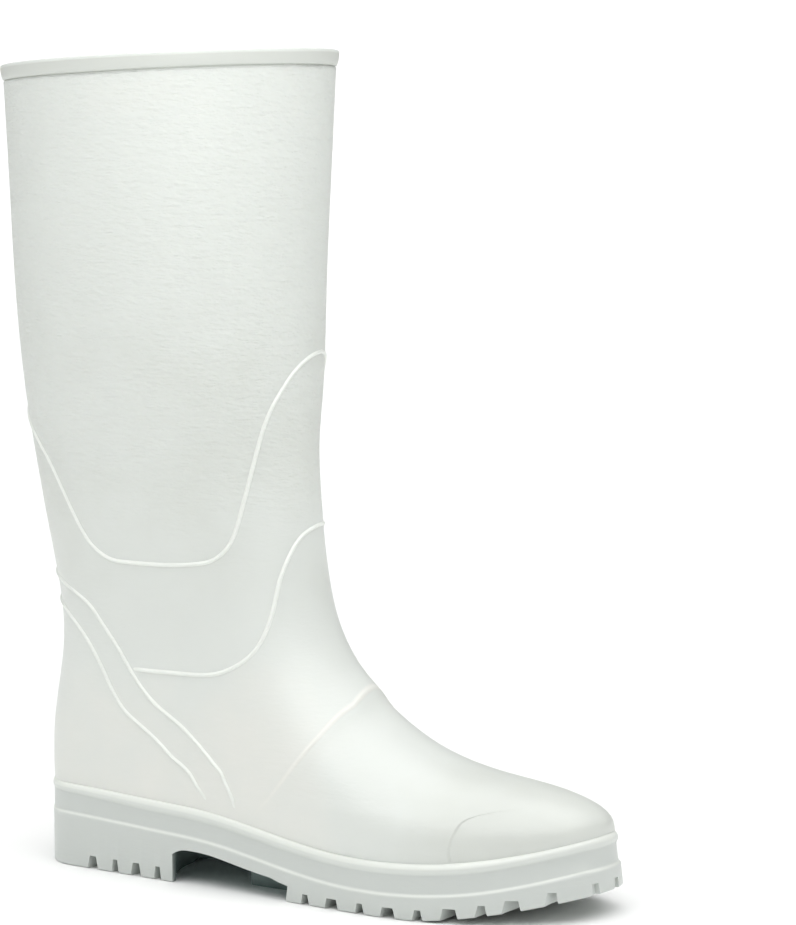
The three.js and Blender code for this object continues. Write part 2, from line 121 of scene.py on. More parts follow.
def spline(xs, ys):
    """Natural cubic spline through points."""
    xs, ys = np.asarray(xs, float), np.asarray(ys, float)
    n, h = len(xs), np.diff(xs)
    lhs, rhs = np.eye(n), np.zeros(n)
    for i in range(1, n - 1):
        lhs[i, i - 1:i + 2] = h[i - 1], 2 * (h[i - 1] + h[i]), h[i]
        rhs[i] = 6 * ((ys[i + 1] - ys[i]) / h[i] - (ys[i] - ys[i - 1]) / h[i - 1])
    bend = np.linalg.solve(lhs, rhs)

    def at(x):
        i = np.clip(np.searchsorted(xs, x, side="right") - 1, 0, n - 2)
        a, b = (xs[i + 1] - x) / h[i], (x - xs[i]) / h[i]
        return a * ys[i] + b * ys[i + 1] + ((a**3 - a) * bend[i] + (b**3 - b) * bend[i + 1]) * h[i] ** 2 / 6

    return at


# Height of the edge of the upper: along the foot, over the heel's height
FEATHER = [
    (-0.05, 1.0005), (0, 1.0005), (0.12, 0.9843), (0.3, 0.9235), (0.38, 0.8898), (0.48, 0.7911),
    (0.62, 0.6445), (0.75, 0.6204), (0.88, 0.7068), (1, 0.9129),
]
# Sections: station, front point, back point, half widths out and in, widest share, power, tuck, shift
COLUMNS = (
    "station", "front_x", "front_z", "back_x", "back_z", "outer", "inner", "widest", "power", "tuck",
    "shift")
FOOT_SECTIONS = [
    (0, 1, 0.1887, 1, -0.0567, 0.516, 0.463, 0.05, 2.3, 0.02, 0.0947),
    (1, 0.8777, 0.207, 0.8777, -0.149, 0.526, 0.474, 0.08, 2.3, 0.02, 0.0632),
    (2, 0.753, 0.2831, 0.753, -0.1965, 0.526, 0.474, 0.1, 2.3, 0.02, 0.0316),
    (3, 0.6283, 0.5109, 0.6283, -0.205, 0.495, 0.442, 0.12, 2.3, 0.03, 0),
    (4, 0.5187, 1, 0.4333, -0.1892, 0.453, 0.421, 0.18, 2.25, 0.06, -0.0105),
    (5, 0.4846, 1.1381, 0.2634, -0.2889, 0.437, 0.421, 0.25, 2.2, 0.1, -0.0105),
]
LEG_SECTIONS = [
    (6, 0.8188, 1.2529, 0.0863, -0.2365, 0.3212, 0.3212, 0.35, 2.1, 0.15, 0),
    (7, 0.8093, 1.3521, -0.0984, 0.703, 0.358, 0.358, 0.45, 2, 0.05, 0),
    (8, 0.805, 1.467, -0.0673, 1.2416, 0.4176, 0.4176, 0.5, 2, 0, 0),
    (9, 0.8067, 1.6555, -0.1191, 1.5591, 0.4665, 0.4665, 0.5, 2, 0, 0),
    (10, 0.8205, 1.8469, -0.1467, 1.827, 0.4885, 0.4885, 0.5, 2, 0, 0),
    (11, 0.8343, 2, -0.1648, 2, 0.5, 0.5, 0.5, 2, 0, 0),
]
# The back: level, place, how far in the plan rounds off, power
BACK = [
    (-0.2625, 0.0069, 0.1519, 2.2), (0.021, 0.0069, 0.1519, 2.2), (0.4454, 0.0155, 0.1898, 2.25),
    (0.9447, 0.0414, 0.2554, 2.2), (1.1565, -0.0112, 0.3296, 2), (1.348, -0.0725, 0.3779, 2),
    (1.579, -0.1208, 0.4262, 2), (1.8086, -0.1458, 0.4694, 2), (2, -0.1648, 0.5004, 2),
]
# Ridge where the instep bends: level, place along the foot
FLEX = [
    (-0.0355, 0.4832), (0.1064, 0.5186), (0.2624, 0.5488), (0.3901, 0.5701), (0.5177, 0.5861),
    (0.6455, 0.5931), (0.8019, 0.5968),
]
# Raised lines: turn from back (0) to front (1) on the outer side, level; how wide the inner side is, and
# over how far open ends fade (mm)
LINES = {}
LINES["line_yoke"] = Values(inner=0.835, at=[
    (0, 1.419), (0.1, 1.409), (0.18, 1.386), (0.256, 1.352), (0.325, 1.304), (0.368, 1.239), (0.396, 1.185),
    (0.418, 1.1565), (0.45, 1.138), (0.495, 1.133), (0.572, 1.131), (0.642, 1.134), (0.685, 1.142),
    (0.72, 1.161), (0.747, 1.192), (0.77, 1.2345), (0.799, 1.287), (0.832, 1.341), (0.871, 1.392),
    (0.917, 1.434), (0.964, 1.466), (1.025, 1.4875), (1.09, 1.494),
])
LINES["line_ankle"] = Values(inner=0.718, fade=7, at=[
    (0.434, 0.8048), (0.475, 0.7982), (0.522, 0.7977), (0.596, 0.7998), (0.662, 0.8394), (0.738, 0.9391),
    (0.801, 1.0204), (0.849, 1.067), (0.88, 1.115), (0.924, 1.16), (0.969, 1.184), (1.031, 1.195),
    (1.09, 1.196),
])
LINES["line_strap_front"] = Values(inner=1, fade=5, at=[
    (0.462, -0.0156), (0.461, 0.0443), (0.469, 0.15), (0.5, 0.2486), (0.514, 0.3438), (0.504, 0.46),
    (0.477, 0.5517), (0.452, 0.6573), (0.433, 0.7807), (0.411, 0.9463), (0.379, 1.034), (0.335, 1.067),
    (0.22, 1.0956), (0.11, 1.108), (0, 1.1126),
])
LINES["line_strap_rear"] = Values(inner=1, fade=14, at=[
    (0.426, -0.01), (0.42, 0.06), (0.42, 0.13), (0.433, 0.2381), (0.436, 0.3473), (0.414, 0.453),
    (0.39, 0.5517), (0.37, 0.7172), (0.353, 0.8547), (0.313, 1.0083), (0.225, 1.0445), (0.11, 1.06),
    (0, 1.0644),
])
# Cuts between the lugs: place along the foot, width at the ground and at the top
NOTCHES = [
    (0.146, 0.0227, 0.0133), (0.194, 0.0156, 0.0089), (0.2384, 0.0227, 0.0133), (0.2838, 0.0156, 0.0089),
    (0.5847, 0.0174, 0.0096), (0.6359, 0.027, 0.0185), (0.6895, 0.0174, 0.0096), (0.74, 0.027, 0.0185),
    (0.7897, 0.0174, 0.0096), (0.8384, 0.027, 0.0185), (0.8845, 0.0174, 0.0096), (0.9247, 0.0245, 0.017),
    (0.9719, 0.0146, 0.0103),
]
# Soft hollows of the thin leg: turn, level, half turn, half height (mm), depth (mm)
HOLLOWS = [
    (0.62, 1.42, 0.2, 34, 0.5), (0.4, 1.75, 0.22, 42, 0.45), (0.78, 1.78, 0.14, 40, -0.35),
    (0.5, 1.08, 0.16, 20, 0.45), (1.35, 1.55, 0.2, 40, 0.5), (1.7, 1.3, 0.16, 30, 0.45),
    (1.55, 1.85, 0.2, 36, -0.35), (0.16, 1.3, 0.1, 24, 0.3), (1.86, 1.62, 0.1, 30, 0.3),
]
# How the toe rounds off from the side and from above: start and length (shares of the foot), power
TOE_SIDE, TOE_PLAN = (0.8, 0.2, 2.5), (0.66, 0.34, 2.3)
# Row up to which the sections bend with the sole's edge, and the rows that come level at the collar
BENT_ROWS, LEVEL_FROM, LEVEL_OVER = 0.3, 0.97, 0.03
# Toe cap (mm, shares of the foot): curve of its edge, its swell, and the step with where it fades out
CAP = Values(
    place=0.833, level=29.5, bow=0.016, top=41, reach=9, roll=0.05, swell=0.8, swell_from=0.75,
    swell_over=0.2, step=0.7, step_wide=2.2, fade_at=50, fade_over=12, tip=34)
# Bend of the instep (mm): lean of the ridge, its height and slopes, the fold ahead, the lowest level
BEND = Values(
    lean=8.84, lean_from=-12, lean_over=34, tall=0.75, behind=13, ahead=6, fold=0.25, fold_at=10,
    fold_wide=7, low=30, low_over=14)
# Slope of the rim (mm): its lifts, how far below the rim it starts, over how much it grows
SLOPE = Values(back=0.65, front=2.45, inner=2.6, start=80, over=70)
# Raised lines: width and height against their sizes, roundness, depth of strip and edges in the leg (mm)
LINE = Values(wide=0.88, tall=1.05, round=1.6, sink=0.06, tuck=0.1)
# Side of the sole, from the top down: the height that a point goes by, how far out it lies (mm), and
# how far above that height (in heights of the ledge, or mm)
SIDE = [
    ("ledge", -2.0, 0.0), ("ledge", -0.1, 0.04), ("ledge", 0.5, 0.0), ("ledge", 1.0, -0.08),
    ("ledge", 1.42, -0.22), ("ledge", 1.72, -0.38), ("ledge", 1.88, -0.55), ("ledge", 1.84, -0.72),
    ("ledge", 1.6, -0.87), ("ledge", 1.2, -0.98), ("ledge", 0.9, -1.1), ("ledge", 0.78, -1.3),
    ("ledge", 0.74, -1.6), ("step", 0.74, 1.5), ("step", 0.84, 1.0), ("step", 1.14, 0.66),
    ("step", 1.52, 0.24), ("step", 1.74, -0.26), ("step", 1.74, -0.8), ("step", 1.62, -1.4),
    ("step", 1.56, -2.4), ("ground", 1.42, 1.3), ("ground", 1.2, 0.6), ("ground", 0.75, 0.16),
    ("ground", 0, 0),
]
# Height of the ledge (mm): at the heel, how much more in the waist, how much less again in front
LEDGE = Values(heel=3.4, waist=1.4, fore=0.4, over=0.3)
# Toe spring: where it starts, over how much (shares of the foot), power
SPRING = (0.77, 0.23, 1.5)
# Top of the arch: place along the foot, height over the heel's
ARCH_TOP = [
    (0.2131, 0.4052), (0.3267, 0.4052), (0.3766, 0.4), (0.4512, 0.3195), (0.5328, 0.2388), (0.5861, 0.2078),
]
# Arch: start, hollow, end (shares of the foot), half width (share of the ball), rounding, lean (mm)
ARCH = Values(start=0.3162, hollow=0.0675, end=0.5435, half=0.43, rear_round=2.5, fore_round=1.5, lean=2)
# Middle lug: start, length (shares of the foot), width (share of the ball), lean, depth in the sole (mm)
LUG = Values(start=0.4299, long=0.1278, wide=0.568, lean=0.8, up=1.5)
# Shallow cuts in the front of the toe (mm): places across the boot, the inner side positive; start ahead of
# the upper's edge, length, width, and how much narrower per mm up
TOE_CUTS = (-2.5, 13)
TOE_CUT = Values(start=3, long=9, wide=4.6, taper=0.2)
# How wide a cutter is against the ball, and how far it reaches below the ground, the arch's too (mm)
CUTTER_WIDE, CUTTER_LOW, ARCH_LOW = 1.4, -3, -6

# Points of the traced front and back, halvings of the search for a section
FRONT_STEPS, BACK_STEPS, HALVINGS = 1201, 1001, 28
TOP_STATION = LEG_SECTIONS[-1][0]
# Points round the leg, rows of its outside and inside, steps of a rounded edge, points round the sole
LEG_AROUND, SKIN_ROWS, LINING_ROWS, ROUND_STEPS, SOLE_AROUND = 240, 176, 50, 6, 360
# End of the outside's rows, below the collar's groove, and how much closer they start
SKIN_END, SKIN_SPREAD = 0.993, 1.12
# Rounding of the band's outer edge, and how far below the rim the lining starts (mm)
BAND_EDGE, LINING_LOW = 1.1, 4
# Raised lines: points traced, step along (mm), points across
LINE_TRACED, LINE_STEP, LINE_ACROSS = 2001, 1.4, 11
TINY, CLOSE = 1e-9, 1e-6


class Last:
    """The outside of the boot as a function of a row (0 edge of the sole, 1 collar) and a turn
    (0 back, 1 front by the outer side, 2 back again by the inner side). Millimetres, x from the heel."""

    def __init__(self, sizes):
        for name in BootSizes.__annotations__:
            setattr(self, name, getattr(sizes, name) / MM)
        # rounding of the rim, how much lower it is at the back, the part's origin ahead of the heel
        self.lip, self.drop, self.rest = 0.7, 1.0, 20.0
        xs, zs = zip(*FEATHER)
        self.feather = spline(np.array(xs) * self.foot, np.array(zs) * self.heel)
        rows = [self.real(r, self.foot, self.ball, self.ball) for r in FOOT_SECTIONS]
        rows += [self.real(r, self.leg_depth, self.leg_width, 1) for r in LEG_SECTIONS]
        stations = [r[0] for r in rows]
        self.at = {name: spline(stations, [r[k] for r in rows]) for k, name in enumerate(COLUMNS)}
        levels = [self.rise(r[0]) for r in BACK]
        self.back_x, self.back_round = (
            spline(levels, [r[k] * self.leg_depth for r in BACK]) for k in (1, 2))
        self.back_power = spline(levels, [r[3] for r in BACK])
        self.flex_x = spline([self.rise(r[0]) for r in FLEX], [r[1] * self.foot for r in FLEX])
        self.flex_top = self.rise(FLEX[-1][0])
        q = TOP_STATION * (1 - np.cos(np.linspace(0, np.pi / 2, FRONT_STEPS)))
        self.front = self.trace(*self.front_point(q))
        z = np.linspace(self.feather(0.0), self.height, BACK_STEPS)
        self.rear = self.trace(self.back_x(z), z)

    def rise(self, level):
        """Height of a level: 0 the heel's edge, 1 the top of the instep, 2 the rim."""
        top = self.heel + self.instep
        return np.where(level < 1, self.heel + level * self.instep, top + (level - 1) * (self.height - top))

    def real(self, row, length, width, shift):
        units = (1, length, None, length, None, width, width, 1, 1, 1, shift)
        return [float(self.rise(v)) if unit is None else v * unit for v, unit in zip(row, units)]

    def front_point(self, q):
        x = self.at["front_x"](q)
        low = self.feather(x)
        return x, low + (self.at["front_z"](q) - low) * self.toe(x, *TOE_SIDE)

    def toe(self, x, start, over, power):
        """How the toe rounds off: 1 up to its start, 0 at the tip."""
        return nose((x / self.foot - start) / over, power)

    @staticmethod
    def trace(x, z):
        return np.concatenate([[0], np.cumsum(np.hypot(np.diff(x), np.diff(z)))]), x, z

    @staticmethod
    def along(line, share, less):
        s = share * (line[0][-1] - less)
        return np.interp(s, line[0], line[1]), np.interp(s, line[0], line[2])

    @staticmethod
    def at_height(line, z):
        return np.interp(z, line[2], line[1]), z

    def half(self, x, z):
        """Outer and inner half width at a place seen from the side, and shift of the middle."""
        lo, hi = np.zeros_like(x), np.full_like(x, TOP_STATION)
        at = self.at
        for _ in range(HALVINGS):
            q = (lo + hi) / 2
            fx, fz, bx, bz = (at[k](q) for k in ("front_x", "front_z", "back_x", "back_z"))
            over = (fx - bx) * (z - bz) - (fz - bz) * (x - bx) > 0
            lo, hi = np.where(over, q, lo), np.where(over, hi, q)
        q = (lo + hi) / 2
        fx, fz = self.front_point(q)
        bx, bz = at["back_x"](q), at["back_z"](q)
        v = np.clip(np.hypot(x - bx, z - bz) / np.maximum(np.hypot(fx - bx, fz - bz), CLOSE), 0, 1)
        widest, turn_in = at["widest"](q), self.back_round(z)
        k = nose((v - widest) / (1 - widest), at["power"](q))
        k = k * nose((turn_in - (x - self.back_x(z))) / turn_in, self.back_power(z))
        k = k * self.toe(x, *TOE_PLAN)
        k = k * (1 - at["tuck"](q) * np.clip((widest - v) / widest, 0, 1) ** 2)
        return at["outer"](q) * k, at["inner"](q) * k, at["shift"](q)

    def section(self, rear, fore, turn, sag=None):
        """The section from a point of the back to one of the front."""
        turn = np.mod(turn, 2)
        share = (1 - np.cos(np.pi * turn)) / 2
        x, z = (a + (b - a) * share for a, b in zip(rear, fore))
        if sag is not None:
            z = z + sag(share)
        outer, inner, shift = self.half(x, z)
        edge = (share < TINY) | (share > 1 - TINY)
        y = np.where(turn <= 1, -outer, inner)
        return np.stack([x, shift + np.where(edge, 0, y), z], -1)

    def level(self, z, turn):
        z, turn = paired(z, turn)
        return self.section(self.at_height(self.rear, z), self.at_height(self.front, z), turn)

    def ring(self, below, turn):
        """Round the collar, so far below the rim."""
        below, turn = paired(below, turn)
        low = self.at_height(self.rear, self.height - self.drop - below)
        return self.section(low, self.at_height(self.front, self.height - below), turn)

    def skin(self, row, turn):
        row, turn = paired(row, turn)
        fade = (1 - np.clip(row / BENT_ROWS, 0, 1)) ** 3
        rx, rz = self.along(self.rear, row, self.collar + self.drop)
        fx, fz = self.along(self.front, row, self.collar)
        mix = np.clip((row - LEVEL_FROM) / LEVEL_OVER, 0, 1)
        rz = rz + (self.height - self.collar - self.drop - rz) * mix
        fz = fz + (self.height - self.collar - fz) * mix
        a, b = self.feather(0.0), self.feather(self.foot)

        def sag(u):
            return fade * (self.feather(self.foot * u) - a - (b - a) * u)

        return self.section((rx, rz), (fx, fz), turn, sag)

    def normal(self, surface, row, turn, step=0.003, flat=False):
        across = surface(row, turn + step) - surface(row, turn - step)
        up = surface(np.minimum(row + step, 1), turn) - surface(np.maximum(row - step, 0), turn)
        n = np.cross(across, up)
        if flat:
            n[..., 2] = 0
        return n / np.maximum(np.linalg.norm(n, axis=-1, keepdims=True), TINY)

    def before_bend(self, p):
        """How far in front of the bend ridge, which leans back over the top and the inner side."""
        lean = BEND.lean * np.clip((p[..., 1] - BEND.lean_from) / BEND.lean_over, 0, 1)
        return p[..., 0] - self.flex_x(np.minimum(p[..., 2], self.flex_top)) + lean

    def before_cap(self, p):
        """How far in front of the toe cap's edge, which bows forward over the top."""
        z = p[..., 2]
        bow = CAP.bow * (z - CAP.level) ** 2
        roll = CAP.roll * np.clip(z - CAP.top, 0, CAP.reach) ** 3
        return p[..., 0] - CAP.place * self.foot - bow - roll

    def under_rim(self, p):
        """How far below the rim, before the rim's own slope, and the share from back to front."""
        share = np.clip((p[..., 0] - self.back_x(self.height)) / self.leg_depth, 0, 1)
        return self.height - self.drop * (1 - share) - p[..., 2], share

    def rim_slope(self, p):
        """Lift of the leg's top, whose rim slopes up to the front and the inner side."""
        below, share = self.under_rim(p)
        across = 2 * p[..., 1] / self.leg_width
        lift = SLOPE.back + SLOPE.front * share + SLOPE.inner * across
        return lift * smooth((SLOPE.start - below) / SLOPE.over)

    def relief(self, p, turn):
        """Toe cap, bend ridge and the leg's soft hollows."""
        x, z = p[..., 0], p[..., 2]
        cap = CAP.swell * smooth((x / self.foot - CAP.swell_from) / CAP.swell_over)
        step = CAP.step * smooth(self.before_cap(p) / CAP.step_wide + 0.5)
        step = step * smooth((CAP.fade_at - z) / CAP.fade_over) * smooth((self.foot - x) / CAP.tip)
        cap = cap - step
        off = self.before_bend(p)
        behind = smooth((off + BEND.behind) / BEND.behind)
        ridge = np.where(off < 0, behind, 1 - smooth(off / BEND.ahead))
        fold = BEND.fold * np.exp(-(((off - BEND.fold_at) / BEND.fold_wide) ** 2))
        up = np.where(z < self.flex_top, smooth((z - BEND.low) / BEND.low_over), 0)
        out = (BEND.tall * ridge - fold) * up + cap
        for t, level, wide, tall, deep in HOLLOWS:
            u, v = (turn - t) / wide, (z - self.rise(level)) / tall
            out = out - deep * np.exp(-u * u - v * v)
        return out

    def part(self, p):
        """Into the part's frame, in metres."""
        return (p - np.array([self.rest, 0, 0])) * MM

    def spots(self, points):
        """Back out of the part's frame, in millimetres."""
        return points / MM + np.array([self.rest, 0, 0])


# making meshes


def deselect():
    if bpy.context.object and bpy.context.object.mode != "OBJECT":
        bpy.ops.object.mode_set(mode="OBJECT")
    bpy.ops.object.select_all(action="DESELECT")


def named(name):
    made = bpy.context.object
    made.name = made.data.name = name
    return made


def place(made, points):
    made.data.vertices.foreach_set("co", np.ascontiguousarray(points, np.float32).ravel())
    made.data.update()


def places(items, key):
    """The places of a mesh's vertices or faces."""
    out = np.zeros(len(items) * 3)
    items.foreach_get(key, out)
    return out.reshape(-1, 3)


def vertices(made):
    return places(made.data.vertices, "co")


def mark(made, name, values):
    """A number on each vertex for the material to read."""
    layer = made.data.attributes.new(name, "FLOAT", "POINT")
    layer.data.foreach_set("value", np.asarray(values, np.float32))


def pick(made):
    """Makes it the one selected and active object."""
    deselect()
    made.select_set(True)
    bpy.context.view_layer.objects.active = made


def seat(made):
    pick(made)
    bpy.ops.object.transform_apply(location=True, rotation=True, scale=True)


def apply(made, kind, **values):
    pick(made)
    mod = made.modifiers.new(kind.title(), kind)
    for key, value in values.items():
        setattr(mod, key, value)
    bpy.ops.object.modifier_apply(modifier=mod.name)


def smooth_by(made, degrees):
    pick(made)
    bpy.ops.object.shade_smooth_by_angle(angle=math.radians(degrees))


def face_out(made, gap=CLOSE):
    """Merges corners closer than the gap and turns every face outwards."""
    pick(made)
    bpy.ops.object.mode_set(mode="EDIT")
    bpy.ops.mesh.select_all(action="SELECT")
    bpy.ops.mesh.remove_doubles(threshold=gap)
    bpy.ops.mesh.normals_make_consistent(inside=False)
    bpy.ops.object.mode_set(mode="OBJECT")


def drop_folded(made):
    """Cuts the faces into triangles and deletes those that lie back to back."""
    bm = bmesh.new()
    bm.from_mesh(made.data)
    bmesh.ops.triangulate(bm, faces=bm.faces)
    by_corners = {}
    for face in bm.faces:
        by_corners.setdefault(frozenset(face.verts), []).append(face)
    folded = [face for faces in by_corners.values() if len(faces) > 1 for face in faces]
    bmesh.ops.delete(bm, geom=folded, context="FACES")
    bm.to_mesh(made.data)
    bm.free()


def dress(made, *materials):
    made.data.materials.clear()
    for material in materials:
        made.data.materials.append(material)


# materials


# Grain of the leg: scale and stretch of the fine and the broad noise, weight of the broad one, depth
FINE_GRAIN, BROAD_GRAIN, BROAD_SHARE, GRAIN_DEPTH = (350, 2.6), (150, 3.4), 1.8, 0.00052
# Heights of the creases at the bend and at the toe cap
CREST_DEPTH, CAP_DEPTH = 0.0003, 0.0004


class Finish:
    """A Principled material whose nodes are added one by one."""

    def __init__(self, name, **sockets):
        self.mat = bpy.data.materials.new(name)
        self.mat.use_nodes = True
        self.tree = self.mat.node_tree
        self.shader = self.tree.nodes["Principled BSDF"]
        for key, value in sockets.items():
            self.shader.inputs[key.replace("_", " ")].default_value = value
        self.place = self.node("ShaderNodeTexCoord").outputs["Object"]

    def node(self, kind, **values):
        made = self.tree.nodes.new(kind)
        for key, value in values.items():
            if hasattr(made, key):
                setattr(made, key, value)
            else:
                made.inputs[key.replace("_", " ")].default_value = value
        return made

    def link(self, out, into):
        self.tree.links.new(out, into)

    def stretch(self, tall):
        made = self.node("ShaderNodeMapping", Scale=(1, 1, tall))
        self.link(self.place, made.inputs["Vector"])
        return made.outputs["Vector"]

    def noise(self, scale, detail=2.0, rough=0.5, vector=None):
        made = self.node("ShaderNodeTexNoise", Scale=scale, Detail=detail, Roughness=rough)
        self.link(vector or self.place, made.inputs["Vector"])
        return made.outputs["Fac"]

    def span(self, value, a, b, low, high):
        """Goes smoothly from low to high as the value goes from a to b."""
        made = self.node("ShaderNodeMapRange", interpolation_type="SMOOTHSTEP")
        for key, number in zip(("From Min", "From Max", "To Min", "To Max"), (a, b, low, high)):
            made.inputs[key].default_value = number
        self.link(value, made.inputs["Value"])
        return made.outputs["Result"]

    def sums(self, kind, first, *others):
        """Takes numbers and sockets together, one after the other."""
        for other in others:
            made = self.node("ShaderNodeMath", operation=kind)
            for k, value in enumerate((first, other)):
                if isinstance(value, (int, float)):
                    made.inputs[k].default_value = value
                else:
                    self.link(value, made.inputs[k])
            first = made.outputs[0]
        return first

    plus = partialmethod(sums, "ADD")
    minus = partialmethod(sums, "SUBTRACT")
    times = partialmethod(sums, "MULTIPLY")

    def axis(self, name):
        made = self.node("ShaderNodeSeparateXYZ")
        self.link(self.place, made.inputs[0])
        return made.outputs[name]

    def attribute(self, name):
        return self.node("ShaderNodeAttribute", attribute_name=name).outputs["Fac"]

    def tint(self, value, stops):
        """Colours the surface by a value."""
        made = self.node("ShaderNodeValToRGB")
        ramp = made.color_ramp
        while len(ramp.elements) < len(stops):
            ramp.elements.new(0.5)
        for element, (place, color) in zip(ramp.elements, stops):
            element.position = place
            element.color = (*color, 1)
        self.link(value, made.inputs["Fac"])
        self.link(made.outputs["Color"], self.shader.inputs["Base Color"])

    def bump(self, height, distance):
        """One more bump over those already there."""
        made = self.node("ShaderNodeBump", Strength=1.0, Distance=distance)
        self.link(height, made.inputs["Height"])
        for old in self.shader.inputs["Normal"].links:
            self.link(old.from_socket, made.inputs["Normal"])
        self.link(made.outputs["Normal"], self.shader.inputs["Normal"])


def shade(color, k):
    return tuple(min(max(c * k, 0), 1) for c in color)


def pvc_finish(name, leg, rough, collar=False):
    """Moulded PVC, grained and rougher up the leg, between two heights, and not on the collar."""
    f = Finish(
        name, IOR=1.5, Specular_IOR_Level=0.5, Coat_Weight=0.12, Coat_Roughness=0.35,
        Subsurface_Weight=0.12, Subsurface_Radius=(0.004, 0.004, 0.0035), Subsurface_Scale=1.0)
    z = f.axis("Z")
    up = f.span(z, *leg, 0.1, 1.0)
    if collar:
        up = f.times(up, f.span(f.attribute("under_rim"), 7.5, 8.5, 0.1, 1.0))
    fine, broad = (
        f.noise(scale, vector=f.stretch(tall)) for scale, tall in (FINE_GRAIN, BROAD_GRAIN))
    grain = f.plus(fine, f.times(broad, BROAD_SHARE))
    f.bump(f.times(grain, up), GRAIN_DEPTH)
    f.link(f.plus(f.span(z, *leg, *rough), f.times(fine, 0.08)), f.shader.inputs["Roughness"])
    return f


def upper_finish(color):
    """The upper's PVC with its two sharp creases, and painted light and shade by place: darker at the toe,
    low on the leg and down the collar band, lighter on the foot, at the top of the leg and along the bend's
    crest.
    """
    f = pvc_finish("pvc_upper", (0.14, 0.2), (0.38, 0.56), collar=True)
    x, z = f.axis("X"), f.axis("Z")
    off, below = f.attribute("before_bend"), f.attribute("under_rim")
    crest = f.times(
        f.span(off, -2.4, -0.5, 0, 1), f.span(off, -0.5, 1.2, 1, 0),
        f.span(z, 0.032, 0.078, 0, 1), f.span(z, 0.0875, 0.092, 1, 0))
    f.bump(crest, CREST_DEPTH)
    edge = f.times(f.span(f.attribute("before_cap"), -0.5, 0.9, 1, 0), f.span(z, 0.042, 0.049, 1, 0))
    f.bump(edge, CAP_DEPTH)
    # Painted light and shade by height and place: darker low on the leg, at the toe and down the collar
    # band; lighter at the top of the leg and on the foot.
    painted_light = f.minus(f.span(z, 0.22, 0.355, -0.2, 0.15), f.span(x, 0.13, 0.21, 0, 0.74))
    painted_light = f.plus(painted_light, f.span(z, 0.075, 0.14, 0.58, 0))
    painted_light = f.minus(painted_light, f.times(f.span(below, 0.6, 2.2, 0.1, 0.75), f.span(below, 8, 7.3, 0, 1)))
    # Painted highlight along the crest of the bend.
    painted_light = f.plus(painted_light, f.times(crest, 0.75))
    cool = (color[0] * 0.997, color[1], color[2] * 1.012)
    warm = [min(c * k, 1) for c, k in zip(color, (1.07, 1.042, 1.042))]
    clouds = f.span(f.noise(16, 3.0, 0.55), 0, 1, 0.25, 0.75)
    f.tint(f.times(f.plus(clouds, painted_light), 0.75), [
        (0, shade(color, 0.86)), (0.11, shade(color, 0.915)), (0.26, shade(cool, 0.975)),
        (0.53, shade(cool, 1.005)), (0.75, warm), (1, shade(warm, 1.06))])
    return f.mat


def sole_finish(color, painted_light):
    """The sole's PVC with painted light: a painted highlight on the ledge and the side's ridge, painted
    shade in the cuts and underneath.
    """
    f = pvc_finish("pvc_sole", (0.2, 0.3), (0.36, 0.5))
    # Painted shade for the cuts and the underside: the sole's colour darkened and turned bluish green.
    deep = [c * k for c, k in zip(color, (0.33, 0.42, 0.42))]
    f.tint(f.attribute("painted_light"), [(0, deep), (0.3, color), (1, painted_light)])
    return f.mat


def line_finish(color):
    f = pvc_finish("pvc_lines", (0.2, 0.3), (0.3, 0.4))
    f.shader.inputs["Base Color"].default_value = (*color, 1)
    return f.mat


def felt_finish(color):
    f = Finish("felt_insole", Roughness=0.95, Sheen_Weight=0.3, Sheen_Roughness=0.6)
    f.bump(f.noise(1400, 3.0, 0.6), 0.00024)
    f.tint(f.noise(300, 2.0, 0.6), [(0.3, shade(color, 0.93)), (0.7, shade(color, 1.04))])
    return f.mat


def knit_finish(color):
    """Knitted lining: fine ribs up the leg."""
    f = Finish("knit_lining", Roughness=0.9, Sheen_Weight=0.2, Sheen_Roughness=0.5)
    wave = "ShaderNodeTexWave"
    ribs = f.node(wave, wave_type="RINGS", rings_direction="Z", Scale=320.0, Distortion=1.5, Detail=1.0)
    rows = f.node(wave, bands_direction="Z", Scale=260.0, Distortion=0.6, Detail=1.0)
    for made in (ribs, rows):
        f.link(f.place, made.inputs["Vector"])
    f.bump(f.times(ribs.outputs["Fac"], rows.outputs["Fac"]), 0.00018)
    f.tint(f.noise(40, 2.0, 0.5), [(0.3, shade(color, 0.97)), (0.7, shade(color, 1.02))])
    return f.mat


# operators


